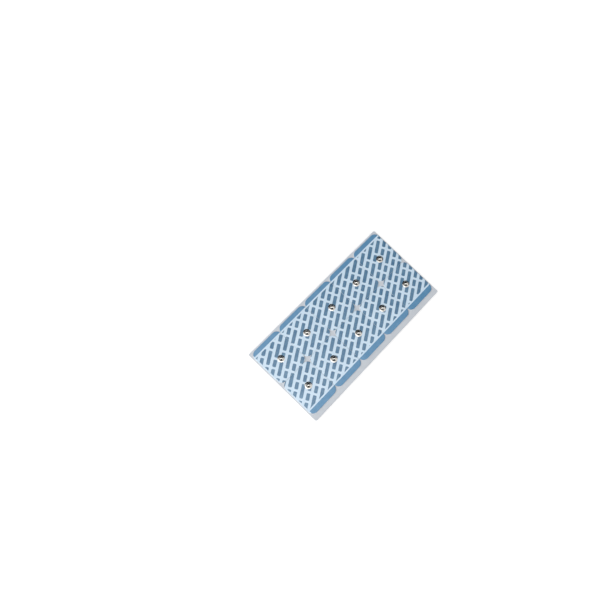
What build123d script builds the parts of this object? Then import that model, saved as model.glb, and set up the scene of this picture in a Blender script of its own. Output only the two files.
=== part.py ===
from build123d import *
import os

# A card of ECG electrodes: foam snap electrodes, die-cut in two rows on one release liner.
# Millimetres. X runs along the rows, Y across them, and Z up out of the printed face.
# The origin is on the surface that the liner lies on, under the middle of the card.

# Card: the rows lie seam to seam, with their pull tabs outwards
COLUMNS = 5
SEAM_GAP = 0.1
LINER_END_MARGIN = 1.0
LINER_NEAR_MARGIN = 5.0
LINER_FAR_MARGIN = 1.5
LINER_THICKNESS = 0.2

# Foam pad: the stuck-down part with the stud at its middle, and the pull tab beyond it
PAD_WIDTH = 32.9
STUCK_LENGTH = 32.9
TAB_LENGTH = 4.6
PAD_CORNER_RADIUS = 5.5
FOAM_THICKNESS = 1.2

# Gel pad, cut from sheet hydrogel and lying in a pocket under the foam
GEL_WIDTH = 20.0
GEL_LENGTH = 20.0
GEL_THICKNESS = 0.5
GEL_CLEARANCE = 0.2

# Snap stud: flange on the foam, narrow neck, and a head that the lead's socket snaps over
STUD_FLANGE_DIAMETER = 6.6
STUD_FLANGE_THICKNESS = 0.3
STUD_NECK_DIAMETER = 3.2
STUD_NECK_LENGTH = 1.1
STUD_HEAD_DIAMETER = 4.0
STUD_LAND_LENGTH = 0.85
STUD_CROWN_WIDTH = 0.6
STUD_CROWN_HEIGHT = 0.45

# Sensor eyelet: flange between the gel and the foam, and a post up through the foam to the stud
EYELET_FLANGE_THICKNESS = 0.25
POST_DIAMETER = 2.6
POST_CLEARANCE = 0.05

# Places worked out from the sizes above
pitch = PAD_WIDTH + SEAM_GAP
pad_length = STUCK_LENGTH + TAB_LENGTH
stud_offset = (SEAM_GAP + STUCK_LENGTH) / 2
card_offset = (LINER_NEAR_MARGIN - LINER_FAR_MARGIN) / 2
pocket_depth = GEL_THICKNESS + EYELET_FLANGE_THICKNESS
flange_radius = STUD_FLANGE_DIAMETER / 2
post_radius = POST_DIAMETER / 2


def release_liner():
    """Flat sheet under every electrode."""
    length = COLUMNS * pitch - SEAM_GAP + 2 * LINER_END_MARGIN
    width = SEAM_GAP + 2 * pad_length + LINER_NEAR_MARGIN + LINER_FAR_MARGIN
    return extrude(Rectangle(length, width), LINER_THICKNESS)


def foam_pad():
    """Die-cut foam with a pocket underneath for the gel, and a hole for the eyelet's post."""
    outline = Pos(0, TAB_LENGTH / 2) * RectangleRounded(PAD_WIDTH, pad_length, PAD_CORNER_RADIUS)
    pocket = Rectangle(GEL_WIDTH + 2 * GEL_CLEARANCE, GEL_LENGTH + 2 * GEL_CLEARANCE)
    pad = extrude(outline, FOAM_THICKNESS)
    pad -= extrude(pocket, pocket_depth)
    pad -= extrude(Circle(post_radius + POST_CLEARANCE), FOAM_THICKNESS)
    return pad


def gel_pad():
    """Hydrogel that lies on the liner and meets the eyelet's flange."""
    return extrude(Rectangle(GEL_WIDTH, GEL_LENGTH), GEL_THICKNESS)


def turned(*profile):
    """Revolve a closed profile, given as radius and height, about the stud's axis."""
    section = make_face(Polyline(*profile, close=True).edges())
    return revolve(Plane.XZ * section, Axis.Z)


def sensor_eyelet():
    """Flange on the gel that clamps the foam against the stud's flange, with a post between them."""
    return turned(
        (0, GEL_THICKNESS),
        (flange_radius, GEL_THICKNESS),
        (flange_radius, pocket_depth),
        (post_radius, pocket_depth),
        (post_radius, FOAM_THICKNESS),
        (0, FOAM_THICKNESS),
    )


def snap_stud():
    """Flange on the foam and the eyelet's post, with the neck and the undercut, crowned head above it."""
    neck_radius = STUD_NECK_DIAMETER / 2
    head_radius = STUD_HEAD_DIAMETER / 2
    flange_top = FOAM_THICKNESS + STUD_FLANGE_THICKNESS
    land_low = flange_top + STUD_NECK_LENGTH
    land_top = land_low + STUD_LAND_LENGTH
    crown_top = land_top + STUD_CROWN_HEIGHT
    return turned(
        (0, FOAM_THICKNESS),
        (flange_radius, FOAM_THICKNESS),
        (flange_radius, flange_top),
        (neck_radius, flange_top),
        (neck_radius, land_low),
        (head_radius, land_low),
        (head_radius, land_top),
        (head_radius - STUD_CROWN_WIDTH, crown_top),
        (0, crown_top),
    )


electrode_pieces = {
    "foam_pad": foam_pad(),
    "gel_pad": gel_pad(),
    "sensor_eyelet": sensor_eyelet(),
    "snap_stud": snap_stud(),
}
row_turns = {"a": 0, "b": 180}

os.makedirs("parts", exist_ok=True)
export_step(release_liner(), "parts/release_liner.step")
for row, turn in row_turns.items():
    for column in range(COLUMNS):
        along = Pos((column - (COLUMNS - 1) / 2) * pitch, card_offset, LINER_THICKNESS)
        place = along * Rot(0, 0, turn) * Pos(0, stud_offset, 0)
        for name, piece in electrode_pieces.items():
            export_step(place * piece, f"parts/{name}_{row}{column + 1}.step")
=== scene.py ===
import math

import bmesh
import bpy
from mathutils import Matrix, Vector, noise


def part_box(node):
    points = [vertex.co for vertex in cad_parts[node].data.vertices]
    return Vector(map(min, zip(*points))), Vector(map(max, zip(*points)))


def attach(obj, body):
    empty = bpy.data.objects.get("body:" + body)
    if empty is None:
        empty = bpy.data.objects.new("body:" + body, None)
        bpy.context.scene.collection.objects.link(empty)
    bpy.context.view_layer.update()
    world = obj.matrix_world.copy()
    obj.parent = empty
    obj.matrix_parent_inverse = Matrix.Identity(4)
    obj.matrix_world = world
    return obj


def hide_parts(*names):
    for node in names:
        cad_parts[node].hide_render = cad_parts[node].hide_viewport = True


# A card of ECG electrodes, in metres and in the CAD frame: X along the rows, Y across them, Z up.
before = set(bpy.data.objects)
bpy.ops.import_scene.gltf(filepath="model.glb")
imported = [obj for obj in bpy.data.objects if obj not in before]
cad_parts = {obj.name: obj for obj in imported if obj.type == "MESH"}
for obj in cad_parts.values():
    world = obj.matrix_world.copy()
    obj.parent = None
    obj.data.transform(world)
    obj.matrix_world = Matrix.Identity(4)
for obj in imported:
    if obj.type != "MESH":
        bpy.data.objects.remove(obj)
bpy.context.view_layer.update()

MM = 0.001
TOLERANCE = 1e-6
FINE_TOLERANCE = 1e-7
SHARP_ANGLE = math.radians(40)
ELECTRODES = [f"{row}{column}" for row in "ab" for column in range(1, 6)]
MIDDLE = "a3"
OPPOSITE = "b3"

# Foam pads: outline and pocket as in the part, with a die-cut edge and a soft surface
CORNER_RADIUS = 5.5 * MM
CORNER_STEPS = 12
FOAM_GRID = 1.0 * MM
GEL_CLEARANCE = 0.2 * MM
EYELET_FLANGE = 0.25 * MM
POST_HOLE_RADIUS = 1.35 * MM
HOLE_BLOCK = 2 * FOAM_GRID
FLANGE_REST_RADIUS = 3.6 * MM
CUT_EDGE_ROUND = 0.15 * MM
EDGE_STEPS = 3
WALL_SLOPE = 0.5
SKIN_SLOPE = 0.3
DROP_BEYOND_GEL = 0.12 * MM
DROP_START = -1.0 * MM
DROP_END = 4.0 * MM
DROP_AT_EDGE = 0.06 * MM
EDGE_DROP_REACH = 1.0 * MM
SURFACE_WAVE = 0.06 * MM
WAVE_LENGTH = 9.0 * MM
TAB_LIFT = 0.18 * MM
TAB_LIFT_SPACING = 25.0 * MM

# Gel pads: soft squares with rounded corners and edges
GEL_CORNER_RADIUS = 0.8 * MM
GEL_CORNER_STEPS = 4
GEL_EDGE_ROUND = 0.15 * MM

# Release liner: flat under the pads, and free to curl a little at its margins
LINER_CORNER_RADIUS = 1.5 * MM
LINER_CORNER_STEPS = 5
LINER_GRID = 2.0 * MM
LINER_CURL = 0.5 * MM
CURL_REACH = 4.5 * MM
CURL_WAVE_LENGTH = 28.0 * MM
CURL_WAVE_SHARE = 0.45
SIDES_APART = 3.0

# Snap stud, in millimetres: radius, height over the foam and rounding of each corner up to its domed crown
STUD_PROFILE = [
    (0.0, 0.0, 0.0),
    (3.3, 0.0, 0.04),
    (3.3, 0.1, 0.05),
    (2.5, 0.2, 0.0),
    (1.75, 0.3, 0.3),
    (1.5, 1.15, 0.25),
    (2.0, 1.4, 0.12),
    (2.0, 1.76, 0.1),
]
DOME_RADIUS = 2.6
DOME_EDGE = 1.9
DOME_TOP = 2.7
DOME_STEPS = 10
STUD_TURNS = 64
ROUNDING_STEPS = 6

# Crevice round the stud's neck, where the plate is painted near black as shade and made rougher
CREVICE_RADIUS = 2.1 * MM
CREVICE_LOW = 0.21 * MM
CREVICE_HIGH = 1.35 * MM
CREVICE_ROUGHNESS = 0.3

# Print on the pads' skin: a band on the tabs, a bare line, and slanting dashes between the lines
PRINT_SHIFT = 0.48 * MM
BARE_LINE_OFFSET = 32.4 * MM
BARE_LINE_WIDTH = 1.3 * MM
BARE_END = 1.0 * MM
DASH_SLANT = math.radians(31.3)
DASH_ROW_PITCH = 5.72 * MM
DASH_HEIGHT = 3.2 * MM
DASH_CORNER = 0.8 * MM
LONG_DASH = 12.6 * MM
SHORT_DASH = 6.4 * MM
DASH_GAP = 2.0 * MM
ROW_STAGGER = 7.9 * MM
INK_EDGE = 0.12 * MM
INK_RAGGED = 0.6 * MM

# Studio: a white floor and background, a soft key lamp, and boards that only glossy surfaces mirror
FLOOR_SHADE = 0.84
FLOOR_HALF_SIZE = 4.0
FLOOR_DROP = 0.1 * MM
FLOOR_LIFT_START = 0.08
FLOOR_LIFT_END = 0.45
FLOOR_LIFT_NEAR = 0.27
FLOOR_LIFT_FAR = 0.65
WORLD_LIGHT = 0.45
WORLD_SEEN = 1.0
BOARDS_TURN = math.radians(-44)
BLACK_BOARD = 0.02
WHITE_BOARD = 0.8
KEY_PLACE = (-1.8, 0.6, 2.1)
KEY_SIZE = 1.34
KEY_POWER = 51.2

# Camera, fitted to the ten studs, the notches between the tabs and the tab edges
CAMERA_PLACE = (-0.21023, -0.00645, 0.6233)
CAMERA_AIM = (-0.01531, 0.04317, 0.0)
CAMERA_ROLL = math.radians(30.44)
LENS = 44.05
SENSOR = 36.0


def smooth_step(low, high, value):
    """Rise from 0 to 1 between two values, level at both ends."""
    share = min(max((value - low) / (high - low), 0.0), 1.0)
    return share * share * (3 - 2 * share)


def axis_of(label):
    """The middle of an electrode's stud, on the surface that the card lies on."""
    low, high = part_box(f"snap_stud_{label}")
    return Vector(((low.x + high.x) / 2, (low.y + high.y) / 2, 0))


def place_of(label):
    """Turn and move from the middle electrode's own axes to an electrode's place."""
    turn = 0 if label.startswith("a") else math.pi
    return Matrix.Translation(axis_of(label)) @ Matrix.Rotation(turn, 4, "Z")


def finish_piece(bm, name, node, materials):
    """Make a shaped mesh into a piece that stands for its CAD node."""
    mesh = bpy.data.meshes.new(name)
    bm.to_mesh(mesh)
    bm.free()
    mesh.shade_smooth()
    mesh.set_sharp_from_angle(angle=SHARP_ANGLE)
    for material in materials:
        mesh.materials.append(material)
    piece = bpy.data.objects.new(name, mesh)
    bpy.context.scene.collection.objects.link(piece)
    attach(piece, "root")
    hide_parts(node)
    return piece


def rounded_plan(low, high, radius, steps):
    """A flat face between two corners, with its own corners rounded."""
    bm = bmesh.new()
    bmesh.ops.create_grid(bm, x_segments=1, y_segments=1, size=0.5)
    bmesh.ops.scale(bm, vec=(high.x - low.x, high.y - low.y, 1), verts=bm.verts[:])
    middle = ((low.x + high.x) / 2, (low.y + high.y) / 2, low.z)
    bmesh.ops.translate(bm, vec=middle, verts=bm.verts[:])
    bmesh.ops.bevel(
        bm, geom=bm.verts[:], offset=radius, segments=steps, profile=0.5, affect="VERTICES", material=-1
    )
    return bm


def round_edges(bm, edges, radius):
    bmesh.ops.bevel(
        bm, geom=edges, offset=radius, segments=EDGE_STEPS, profile=0.5, affect="EDGES", material=-1
    )


def cut_across(bm, axis, places):
    """Cut everything by planes square to an axis."""
    for place in places:
        point = Vector((0, 0, 0))
        normal = Vector((0, 0, 0))
        point[axis] = place
        normal[axis] = 1
        everything = bm.verts[:] + bm.edges[:] + bm.faces[:]
        bmesh.ops.bisect_plane(bm, geom=everything, plane_co=point, plane_no=normal, dist=FINE_TOLERANCE)


def raise_faces(bm, faces, height):
    """Extrude faces and move the new ones up."""
    made = bmesh.ops.extrude_face_region(bm, geom=faces)
    lifted = [item for item in made["geom"] if isinstance(item, bmesh.types.BMVert)]
    bmesh.ops.translate(bm, vec=(0, 0, height), verts=lifted)


def grid_lines(low, high, step, edges=()):
    """Whole steps from zero between two ends, with the lines next to given edges moved onto them."""
    lines = []
    for count in range(math.ceil(low / step), math.floor(high / step) + 1):
        line = count * step
        near = [edge for edge in edges if abs(edge - line) < step / 2]
        lines.append(near[0] if near else line)
    return [line for line in lines if low + step / 4 < line < high - step / 4]


# Foam pads, shaped about the stud's axis; the stuck-down part is square, so its edge is the pad's half width

pad_low, pad_high = (corner - axis_of(MIDDLE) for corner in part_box(f"foam_pad_{MIDDLE}"))
gel_low, gel_high = (corner - axis_of(MIDDLE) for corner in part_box(f"gel_pad_{MIDDLE}"))
pocket_half = gel_high.x + GEL_CLEARANCE
pocket_depth = gel_high.z - gel_low.z + EYELET_FLANGE
stuck_edge = pad_high.x


def off_axis(face):
    """How far a face's middle lies from the stud's axis, along X or Y."""
    middle = face.calc_center_median()
    return max(abs(middle.x), abs(middle.y))


def pierced_outline():
    """A pad's outline on a fine grid, with a round hole for the eyelet's post."""
    bm = rounded_plan(pad_low, pad_high, CORNER_RADIUS, CORNER_STEPS)
    pocket_edges = (-pocket_half, pocket_half)
    cut_across(bm, 0, grid_lines(pad_low.x, pad_high.x, FOAM_GRID, pocket_edges))
    cut_across(bm, 1, grid_lines(pad_low.y, pad_high.y, FOAM_GRID, pocket_edges))
    inner = [face for face in bm.faces if off_axis(face) < HOLE_BLOCK]
    bmesh.ops.delete(bm, geom=inner, context="FACES")
    opening = [
        edge
        for edge in bm.edges
        if edge.is_boundary and all(vert.co.xy.length < 2 * HOLE_BLOCK for vert in edge.verts)
    ]
    hole = bmesh.ops.create_circle(
        bm,
        radius=POST_HOLE_RADIUS,
        segments=len(opening),
        matrix=Matrix.Translation((0, 0, pad_low.z)) @ Matrix.Rotation(math.pi / 4, 4, "Z"),
    )
    ring = set(hole["verts"])
    rim = [edge for edge in bm.edges if ring.issuperset(edge.verts)]
    bmesh.ops.bridge_loops(bm, edges=opening + rim)
    return bm


def sink_pocket(bm):
    """Sink the gel's pocket into the underside, with the post's hole starting at its ceiling."""
    mouth = [
        face
        for face in bm.faces
        if face.calc_center_median().z < pad_low.z + TOLERANCE and off_axis(face) < pocket_half
    ]
    raise_faces(bm, mouth, pocket_depth)
    bmesh.ops.delete(bm, geom=mouth, context="FACES")
    rim = [
        vert
        for vert in bm.verts
        if vert.co.z < pad_low.z + TOLERANCE and vert.co.xy.length < 2 * POST_HOLE_RADIUS
    ]
    bmesh.ops.translate(bm, vec=(0, 0, pocket_depth), verts=rim)
    bmesh.ops.remove_doubles(bm, verts=bm.verts[:], dist=TOLERANCE)
    bmesh.ops.recalc_face_normals(bm, faces=bm.faces[:])


def foam_shape():
    """One pad about its stud's axis, with skin on its upper faces and cut foam on the others."""
    bm = pierced_outline()
    raise_faces(bm, bm.faces[:], pad_high.z - pad_low.z)
    sink_pocket(bm)
    cut_edges = [
        edge
        for edge in bm.edges
        if all(vert.co.z > pad_high.z - TOLERANCE and vert.co.xy.length > HOLE_BLOCK for vert in edge.verts)
        and any(abs(face.normal.z) < WALL_SLOPE for face in edge.link_faces)
    ]
    round_edges(bm, cut_edges, CUT_EDGE_ROUND)
    for face in bm.faces:
        face.material_index = 0 if face.normal.z > SKIN_SLOPE else 1
    return bm


def edge_distance(x, y):
    """How far inside a pad's outline a point lies."""
    across = abs(x) - (pad_high.x - CORNER_RADIUS)
    along = abs(y - (pad_low.y + pad_high.y) / 2) - ((pad_high.y - pad_low.y) / 2 - CORNER_RADIUS)
    outside = math.hypot(max(across, 0), max(along, 0)) + min(max(across, along), 0)
    return CORNER_RADIUS - outside


def settle_foam(bm, axis):
    """Let the top sink a little beyond the gel and at the cut edge, and the free tab lift."""
    lift = TAB_LIFT * (1 + noise.noise(axis / TAB_LIFT_SPACING))
    for vert in bm.verts:
        x, y, z = vert.co
        if z > pad_low.z + pocket_depth + TOLERANCE:
            reach = max(abs(x), abs(y)) - pocket_half
            wave = noise.noise((vert.co + axis) / WAVE_LENGTH)
            sink = DROP_BEYOND_GEL * smooth_step(DROP_START, DROP_END, reach)
            sink += DROP_AT_EDGE * math.exp(-max(edge_distance(x, y), 0) / EDGE_DROP_REACH)
            sink += SURFACE_WAVE * (1 + wave) / 2
            vert.co.z -= sink * smooth_step(FLANGE_REST_RADIUS, 2 * FLANGE_REST_RADIUS, math.hypot(x, y))
        if y > stuck_edge:
            vert.co.z += lift * ((y - stuck_edge) / (pad_high.y - stuck_edge)) ** 2


def foam_pads(skin, foam):
    """Printed pads, each settled in its own way."""
    shape = foam_shape()
    for label in ELECTRODES:
        bm = shape.copy()
        settle_foam(bm, axis_of(label))
        bmesh.ops.transform(bm, matrix=place_of(label), verts=bm.verts[:])
        pad = finish_piece(bm, f"printed_foam_{label}", f"foam_pad_{label}", (skin, foam))
    shape.free()


# Gel pads


def gel_pads(gel):
    """Soft squares, level where the eyelet's flange lies on them."""
    shape = rounded_plan(gel_low, gel_high, GEL_CORNER_RADIUS, GEL_CORNER_STEPS)
    raise_faces(shape, shape.faces[:], gel_high.z - gel_low.z)
    bmesh.ops.recalc_face_normals(shape, faces=shape.faces[:])
    rims = [edge for edge in shape.edges if abs(edge.verts[0].co.z - edge.verts[1].co.z) < FINE_TOLERANCE]
    round_edges(shape, rims, GEL_EDGE_ROUND)
    for label in ELECTRODES:
        bm = shape.copy()
        bmesh.ops.transform(bm, matrix=place_of(label), verts=bm.verts[:])
        finish_piece(bm, f"soft_gel_{label}", f"gel_pad_{label}", (gel,))
    shape.free()


# Snap studs


def stud_profile():
    """The stud's corners, with the crown as an arc that ends level on the axis."""
    opening = math.asin(DOME_EDGE / DOME_RADIUS)
    angles = [opening * (1 - step / DOME_STEPS) for step in range(DOME_STEPS + 1)]
    dome = [
        (DOME_RADIUS * math.sin(angle), DOME_TOP - DOME_RADIUS * (1 - math.cos(angle)), 0.0)
        for angle in angles
    ]
    return STUD_PROFILE + dome


def rounded_section():
    """Half of the stud's section as a chain of edges, with its corners rounded and its axis open."""
    bm = bmesh.new()
    profile = stud_profile()
    corners = [bm.verts.new((radius * MM, 0, height * MM)) for radius, height, rounding in profile]
    bm.faces.new(corners)
    for corner, (radius, height, rounding) in zip(corners, profile):
        if rounding:
            bmesh.ops.bevel(
                bm,
                geom=[corner],
                offset=rounding * MM,
                segments=ROUNDING_STEPS,
                profile=0.5,
                affect="VERTICES",
                material=-1,
            )
    bmesh.ops.delete(bm, geom=bm.faces[:], context="FACES_ONLY")
    on_axis = [edge for edge in bm.edges if all(vert.co.x < FINE_TOLERANCE for vert in edge.verts)]
    bmesh.ops.delete(bm, geom=on_axis, context="EDGES")
    return bm


def stud_shape():
    """Turn the stud's section about its axis, and mark the crevice round its neck, where shade is painted."""
    bm = rounded_section()
    bmesh.ops.spin(
        bm,
        geom=bm.verts[:] + bm.edges[:],
        cent=(0, 0, 0),
        axis=(0, 0, 1),
        angle=2 * math.pi,
        steps=STUD_TURNS,
        use_merge=True,
    )
    bmesh.ops.remove_doubles(bm, verts=bm.verts[:], dist=FINE_TOLERANCE)
    bmesh.ops.recalc_face_normals(bm, faces=bm.faces[:])
    # Mark the crevice under the head, where the material paints shade on the plate
    recess = bm.verts.layers.float.new("recess")
    for vert in bm.verts:
        hidden = vert.co.xy.length < CREVICE_RADIUS and CREVICE_LOW < vert.co.z < CREVICE_HIGH
        vert[recess] = 1.0 if hidden else 0.0
    return bm


def snap_studs(metal):
    """Turned studs, each standing on its pad."""
    shape = stud_shape()
    for label in ELECTRODES:
        foot = Vector((0, 0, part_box(f"snap_stud_{label}")[0].z))
        bm = shape.copy()
        bmesh.ops.transform(bm, matrix=place_of(label) @ Matrix.Translation(foot), verts=bm.verts[:])
        finish_piece(bm, f"turned_stud_{label}", f"snap_stud_{label}", (metal,))
    shape.free()


# Release liner


def release_liner(film):
    """Thin sheet whose margins, beyond the pads, curl up unevenly, each in its own way."""
    low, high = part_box("release_liner")
    near_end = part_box("foam_pad_b1")[0].y
    far_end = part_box("foam_pad_a5")[1].y
    bm = rounded_plan(low, high, LINER_CORNER_RADIUS, LINER_CORNER_STEPS)
    cut_across(bm, 0, grid_lines(low.x, high.x, LINER_GRID))
    cut_across(bm, 1, grid_lines(low.y, high.y, LINER_GRID / 2))
    raise_faces(bm, bm.faces[:], high.z - low.z)
    bmesh.ops.recalc_face_normals(bm, faces=bm.faces[:])
    for vert in bm.verts:
        beyond = max(near_end - vert.co.y, vert.co.y - far_end, 0)
        along = Vector((vert.co.x / CURL_WAVE_LENGTH, math.copysign(SIDES_APART, vert.co.y), 0))
        wave = 1 - CURL_WAVE_SHARE + CURL_WAVE_SHARE * noise.noise(along)
        vert.co.z += LINER_CURL * wave * (beyond / CURL_REACH) ** 2
    finish_piece(bm, "liner_sheet", "release_liner", (film,))


# Materials


def add_node(tree, kind, inputs=None, **settings):
    """Add a node, set its options, and set or link its inputs."""
    made = tree.nodes.new(kind)
    for name, value in settings.items():
        setattr(made, name, value)
    for name, value in (inputs or {}).items():
        if isinstance(value, bpy.types.NodeSocket):
            tree.links.new(value, made.inputs[name])
        else:
            made.inputs[name].default_value = value
    return made


def math_node(tree, operation, first, second=0.0, third=0.0):
    return add_node(tree, "ShaderNodeMath", {0: first, 1: second, 2: third}, operation=operation).outputs[0]


def ramp(tree, value, start, end, low, high):
    """Go smoothly from one value to another between two ends."""
    inputs = {0: value, 1: start, 2: end, 3: low, 4: high}
    return add_node(tree, "ShaderNodeMapRange", inputs, interpolation_type="SMOOTHSTEP").outputs[0]


def mix_colour(tree, share, first, second):
    made = add_node(tree, "ShaderNodeMix", {0: share, 6: first, 7: second}, data_type="RGBA")
    return made.outputs[2]


def new_material(name, **constants):
    """A Principled material with its plain values set on the shader's own sockets."""
    material = bpy.data.materials.new(name)
    material.use_nodes = True
    tree = material.node_tree
    shader = tree.nodes["Principled BSDF"]
    for socket, value in constants.items():
        shader.inputs[socket.replace("_", " ")].default_value = value
    place = add_node(tree, "ShaderNodeTexCoord").outputs["Object"]
    return material, tree, shader, place


def mottle_group():
    """Slow and fine unevenness that every moulded or coated surface here has."""
    group = bpy.data.node_groups.new("surface_mottle", "ShaderNodeTree")
    group.interface.new_socket("Place", in_out="INPUT", socket_type="NodeSocketVector")
    for name in ("Slow Scale", "Fine Scale", "Fine Share"):
        group.interface.new_socket(name, in_out="INPUT", socket_type="NodeSocketFloat")
    group.interface.new_socket("Mottle", in_out="OUTPUT", socket_type="NodeSocketFloat")
    given = group.nodes.new("NodeGroupInput").outputs
    slow_inputs = {"Vector": given["Place"], "Scale": given["Slow Scale"], "Detail": 3.0}
    fine_inputs = {"Vector": given["Place"], "Scale": given["Fine Scale"], "Detail": 4.0}
    slow = add_node(group, "ShaderNodeTexNoise", slow_inputs).outputs[0]
    fine = add_node(group, "ShaderNodeTexNoise", fine_inputs).outputs[0]
    mixed = add_node(group, "ShaderNodeMix", {0: given["Fine Share"], 2: slow, 3: fine})
    add_node(group, "NodeGroupOutput", {"Mottle": mixed.outputs[0]})
    return group


def mottle(tree, group, place, slow, fine, share):
    inputs = {"Place": place, "Slow Scale": slow, "Fine Scale": fine, "Fine Share": share}
    return add_node(tree, "ShaderNodeGroup", inputs, node_tree=group).outputs["Mottle"]


def spread(tree, value, low, high):
    """Stretch an even 0.3 to 0.7 mottle to a range of values."""
    return add_node(tree, "ShaderNodeMapRange", {0: value, 1: 0.3, 2: 0.7, 3: low, 4: high}).outputs[0]


def add_bump(tree, shader, height, distance, strength):
    bump = add_node(tree, "ShaderNodeBump", {"Height": height, "Distance": distance, "Strength": strength})
    tree.links.new(bump.outputs[0], shader.inputs["Normal"])


def past_dash_ends(tree, along, period):
    """How far a point in a row lies past the straight part of the nearer dash, the long or the short one."""
    past_ends = []
    for middle, length in (
        (DASH_GAP / 2 + LONG_DASH / 2, LONG_DASH),
        (period - DASH_GAP / 2 - SHORT_DASH / 2, SHORT_DASH),
    ):
        offset = math_node(tree, "ABSOLUTE", math_node(tree, "SUBTRACT", along, middle))
        past_ends.append(math_node(tree, "SUBTRACT", offset, length / 2 - DASH_CORNER))
    return math_node(tree, "MAXIMUM", math_node(tree, "MINIMUM", *past_ends), 0.0)


def dash_coverage(tree, place, ragged):
    """Ink of the slanting rows: a long and a short dash in turn, each row shifted against the last."""
    slant = {"Vector": place, "Angle": -DASH_SLANT}
    turned = add_node(tree, "ShaderNodeVectorRotate", slant, rotation_type="Z_AXIS").outputs[0]
    parts = add_node(tree, "ShaderNodeSeparateXYZ", {0: turned}).outputs
    rows = math_node(tree, "DIVIDE", parts["Y"], DASH_ROW_PITCH)
    row = math_node(tree, "FLOOR", rows)
    share = math_node(tree, "SUBTRACT", math_node(tree, "SUBTRACT", rows, row), 0.5)
    across = math_node(tree, "ABSOLUTE", math_node(tree, "MULTIPLY", share, DASH_ROW_PITCH))
    past_side = math_node(tree, "SUBTRACT", across, DASH_HEIGHT / 2 - DASH_CORNER)
    past_side = math_node(tree, "MAXIMUM", past_side, 0.0)
    period = LONG_DASH + SHORT_DASH + 2 * DASH_GAP
    shifted = math_node(tree, "MULTIPLY_ADD", row, ROW_STAGGER, parts["X"])
    along = math_node(tree, "FLOORED_MODULO", shifted, period)
    past_end = past_dash_ends(tree, along, period)
    side_square = math_node(tree, "MULTIPLY", past_side, past_side)
    squares = math_node(tree, "MULTIPLY_ADD", past_end, past_end, side_square)
    distance = math_node(tree, "ADD", math_node(tree, "SQRT", squares), ragged)
    return ramp(tree, distance, DASH_CORNER - INK_EDGE, DASH_CORNER + INK_EDGE, 1.0, 0.0)


def print_coverage(tree, place, ragged):
    """Ink of the dashes between the two bare lines, and of the solid bands beyond them."""
    seam = (axis_of(MIDDLE).y + axis_of(OPPOSITE).y) / 2
    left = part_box("foam_pad_a1")[0].x
    parts = add_node(tree, "ShaderNodeSeparateXYZ", {0: place}).outputs
    from_seam = math_node(tree, "ABSOLUTE", math_node(tree, "SUBTRACT", parts["Y"], seam + PRINT_SHIFT))
    inside = math_node(tree, "LESS_THAN", from_seam, BARE_LINE_OFFSET - BARE_LINE_WIDTH / 2)
    beyond = math_node(tree, "GREATER_THAN", from_seam, BARE_LINE_OFFSET + BARE_LINE_WIDTH / 2)
    printed = math_node(tree, "GREATER_THAN", parts["X"], left + BARE_END)
    field = math_node(tree, "MULTIPLY", inside, printed)
    dashes = math_node(tree, "MULTIPLY", dash_coverage(tree, place, ragged), field)
    return dashes, math_node(tree, "MULTIPLY", beyond, printed)


def skin_material(group):
    """Pale film with blue print and a soft gloss."""
    material, tree, shader, place = new_material("printed_skin", IOR=1.7)
    uneven = mottle(tree, group, place, slow=70.0, fine=700.0, share=0.45)
    ragged = math_node(tree, "MULTIPLY", math_node(tree, "SUBTRACT", uneven, 0.5), INK_RAGGED)
    shade = spread(tree, uneven, 0.0, 1.0)
    inking = spread(tree, mottle(tree, group, place, slow=260.0, fine=1100.0, share=0.4), 0.0, 1.0)
    bare = mix_colour(tree, shade, (0.61, 0.77, 0.92, 1), (0.67, 0.82, 0.96, 1))
    dash_ink = mix_colour(tree, inking, (0.06, 0.16, 0.29, 1), (0.15, 0.29, 0.43, 1))
    band_ink = mix_colour(tree, inking, (0.09, 0.258, 0.45, 1), (0.138, 0.312, 0.516, 1))
    dashes, bands = print_coverage(tree, place, ragged)
    printed = mix_colour(tree, bands, mix_colour(tree, dashes, bare, dash_ink), band_ink)
    tree.links.new(printed, shader.inputs["Base Color"])
    tree.links.new(spread(tree, uneven, 0.28, 0.22), shader.inputs["Roughness"])
    add_bump(tree, shader, uneven, distance=0.03 * MM, strength=0.5)
    return material


def foam_material(group):
    """White closed-cell foam, open where the die cut it."""
    material, tree, shader, place = new_material("cut_foam", Roughness=0.75)
    cells = add_node(tree, "ShaderNodeTexVoronoi", {"Vector": place, "Scale": 4200.0}).outputs["Distance"]
    uneven = mottle(tree, group, place, slow=120.0, fine=1500.0, share=0.5)
    tint = mix_colour(tree, spread(tree, uneven, 0.0, 1.0), (0.72, 0.75, 0.77, 1), (0.82, 0.84, 0.85, 1))
    tree.links.new(tint, shader.inputs["Base Color"])
    add_bump(tree, shader, cells, distance=0.06 * MM, strength=0.6)
    return material


def liner_material(group):
    """Milky siliconed film."""
    material, tree, shader, place = new_material("liner_film", IOR=1.6)
    uneven = mottle(tree, group, place, slow=35.0, fine=420.0, share=0.35)
    tint = mix_colour(tree, spread(tree, uneven, 0.0, 1.0), (0.57, 0.61, 0.665, 1), (0.64, 0.67, 0.715, 1))
    tree.links.new(tint, shader.inputs["Base Color"])
    tree.links.new(spread(tree, uneven, 0.28, 0.4), shader.inputs["Roughness"])
    add_bump(tree, shader, uneven, distance=0.04 * MM, strength=0.4)
    return material


def gel_material(group):
    """Clear blue-white hydrogel, wet on its surface."""
    material, tree, shader, place = new_material("hydrogel", IOR=1.38, Transmission_Weight=0.4)
    uneven = mottle(tree, group, place, slow=150.0, fine=1800.0, share=0.4)
    tint = mix_colour(tree, spread(tree, uneven, 0.0, 1.0), (0.66, 0.78, 0.82, 1), (0.78, 0.86, 0.88, 1))
    tree.links.new(tint, shader.inputs["Base Color"])
    tree.links.new(spread(tree, uneven, 0.08, 0.2), shader.inputs["Roughness"])
    add_bump(tree, shader, uneven, distance=0.02 * MM, strength=0.4)
    return material


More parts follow.
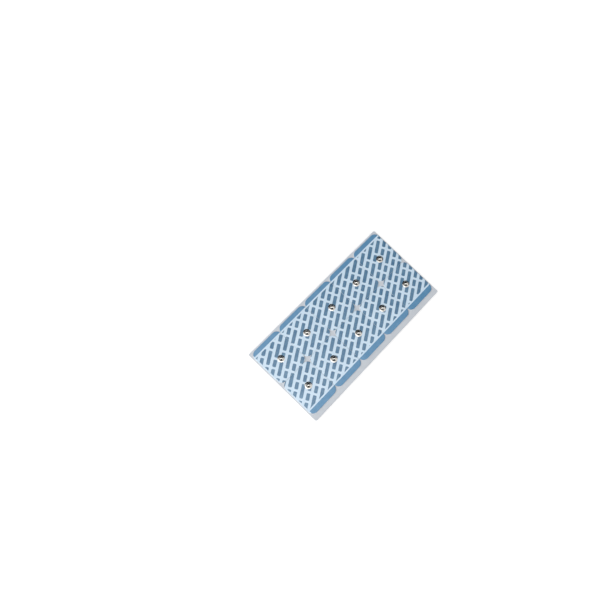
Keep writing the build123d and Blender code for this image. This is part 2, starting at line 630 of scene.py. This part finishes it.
def eyelet_material(group):
    """Grey silver-chloride coat on plastic."""
    material, tree, shader, place = new_material("silver_chloride_coat", Metallic=0.2)
    uneven = mottle(tree, group, place, slow=500.0, fine=5000.0, share=0.6)
    tint = mix_colour(tree, spread(tree, uneven, 0.0, 1.0), (0.36, 0.34, 0.32, 1), (0.5, 0.48, 0.45, 1))
    tree.links.new(tint, shader.inputs["Base Color"])
    tree.links.new(spread(tree, uneven, 0.45, 0.65), shader.inputs["Roughness"])
    add_bump(tree, shader, uneven, distance=0.01 * MM, strength=0.5)
    return material


def metal_material(group):
    """Nickel plate, bright on the head and flange, with painted shade and a rougher finish round the neck."""
    material, tree, shader, place = new_material("nickel_plate", Metallic=1.0)
    uneven = mottle(tree, group, place, slow=400.0, fine=6000.0, share=0.5)
    recess = add_node(tree, "ShaderNodeAttribute", attribute_name="recess").outputs["Fac"]
    bright = mix_colour(tree, spread(tree, uneven, 0.0, 1.0), (0.68, 0.65, 0.6, 1), (0.78, 0.76, 0.72, 1))
    # Painted shade: the plate round the neck, under the head, is darkened near to black
    plate = mix_colour(tree, recess, bright, (0.1, 0.085, 0.07, 1))
    tree.links.new(plate, shader.inputs["Base Color"])
    polish = spread(tree, uneven, 0.12, 0.2)
    roughness = math_node(tree, "MULTIPLY_ADD", recess, CREVICE_ROUGHNESS, polish)
    tree.links.new(roughness, shader.inputs["Roughness"])
    add_bump(tree, shader, uneven, distance=0.004 * MM, strength=0.4)
    return material


# Pieces

surface_mottle = mottle_group()
foam_pads(skin_material(surface_mottle), foam_material(surface_mottle))
gel_pads(gel_material(surface_mottle))
snap_studs(metal_material(surface_mottle))
release_liner(liner_material(surface_mottle))
coated = eyelet_material(surface_mottle)
for electrode in ELECTRODES:
    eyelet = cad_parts[f"sensor_eyelet_{electrode}"]
    eyelet.data.materials.clear()
    eyelet.data.materials.append(coated)


# Floor, background, boards and lamp


def seen_directly(tree):
    """1 for rays from the camera, off gloss and through glass, and 0 for light that falls on the card."""
    path = add_node(tree, "ShaderNodeLightPath").outputs
    share = math_node(tree, "MAXIMUM", path["Is Camera Ray"], path["Is Glossy Ray"])
    return math_node(tree, "MAXIMUM", share, path["Is Transmission Ray"])


def studio_sheet(name, size, stand, material):
    """A flat sheet of the studio, which isn't part of the object."""
    bm = bmesh.new()
    bmesh.ops.create_grid(bm, x_segments=1, y_segments=1, size=0.5)
    bmesh.ops.scale(bm, vec=(*size, 1), verts=bm.verts[:])
    bmesh.ops.transform(bm, matrix=stand, verts=bm.verts[:])
    mesh = bpy.data.meshes.new(name)
    bm.to_mesh(mesh)
    bm.free()
    mesh.materials.append(material)
    sheet = bpy.data.objects.new(name, mesh)
    bpy.context.scene.collection.objects.link(sheet)
    return sheet


def white_floor():
    """White floor that keeps the card's shadow, and is lifted to the background's white further off."""
    material, tree, shader, place = new_material(
        "floor_white",
        Base_Color=(FLOOR_SHADE, FLOOR_SHADE, FLOOR_SHADE, 1),
        Roughness=0.9,
        Specular_IOR_Level=0.0,
        Emission_Color=(1, 1, 1, 1),
    )
    away = add_node(tree, "ShaderNodeVectorMath", {0: place}, operation="LENGTH").outputs["Value"]
    lift = ramp(tree, away, FLOOR_LIFT_START, FLOOR_LIFT_END, FLOOR_LIFT_NEAR, FLOOR_LIFT_FAR)
    tree.links.new(math_node(tree, "MULTIPLY", seen_directly(tree), lift), shader.inputs["Emission Strength"])
    size = (2 * FLOOR_HALF_SIZE, 2 * FLOOR_HALF_SIZE)
    studio_sheet("floor", size, Matrix.Translation((0, 0, -FLOOR_DROP)), material)


def white_world():
    """White background that lights the card evenly, and looks brighter than it lights."""
    world = bpy.data.worlds.new("studio")
    bpy.context.scene.world = world
    world.use_nodes = True
    tree = world.node_tree
    background = tree.nodes["Background"]
    background.inputs["Color"].default_value = (1, 1, 1, 1)
    levels = {0: seen_directly(tree), 3: WORLD_LIGHT, 4: WORLD_SEEN}
    strength = add_node(tree, "ShaderNodeMapRange", levels).outputs[0]
    tree.links.new(strength, background.inputs["Strength"])


def studio_board(name, shade, glow, size, place, tilt):
    """Board out of the picture, which only the polished studs and the glossy films mirror."""
    material = new_material(
        f"{name}_board",
        Base_Color=(shade, shade, shade, 1),
        Specular_IOR_Level=0.0,
        Emission_Color=(1, 1, 1, 1),
        Emission_Strength=glow,
    )[0]
    turn = Matrix.Rotation(BOARDS_TURN, 4, "Z")
    stand = turn @ Matrix.Translation(place) @ Matrix.Rotation(math.radians(tilt), 4, "X")
    board = studio_sheet(name, size, stand, material)
    board.visible_camera = False
    board.visible_diffuse = False
    board.visible_shadow = False


def key_lamp():
    """Large soft lamp at the card's left end, kept out of the reflections."""
    lamp = bpy.data.lights.new("key", "AREA")
    lamp.shape = "DISK"
    lamp.size = KEY_SIZE
    lamp.energy = KEY_POWER
    holder = bpy.data.objects.new("key", lamp)
    holder.location = KEY_PLACE
    holder.visible_glossy = False
    holder.rotation_euler = (-Vector(KEY_PLACE)).to_track_quat("-Z", "Y").to_euler()
    bpy.context.scene.collection.objects.link(holder)


white_floor()
white_world()
studio_board("dark_wall", BLACK_BOARD, glow=0.0, size=(6.0, 3.03), place=(0, 1.69, 0.75), tilt=-29.7)
studio_board("white_window", WHITE_BOARD, glow=1.6, size=(1.3, 0.83), place=(-0.22, -0.285, 1.5), tilt=0)
studio_board("dark_screen", BLACK_BOARD, glow=0.0, size=(1.1, 1.64), place=(0, -0.6, 0.82), tilt=90)
key_lamp()


# Camera


def set_camera():
    """Camera at the photograph's place, turned about its own line of sight."""
    camera = bpy.data.objects.new("camera", bpy.data.cameras.new("camera"))
    camera.data.lens = LENS
    camera.data.sensor_width = SENSOR
    camera.location = CAMERA_PLACE
    towards = Vector(CAMERA_AIM) - Vector(CAMERA_PLACE)
    level = towards.to_track_quat("-Z", "Y").to_matrix().to_4x4()
    camera.rotation_euler = (level @ Matrix.Rotation(CAMERA_ROLL, 4, "Z")).to_euler()
    bpy.context.scene.collection.objects.link(camera)
    bpy.context.scene.camera = camera


set_camera()
bpy.context.scene.view_settings.view_transform = "Standard"
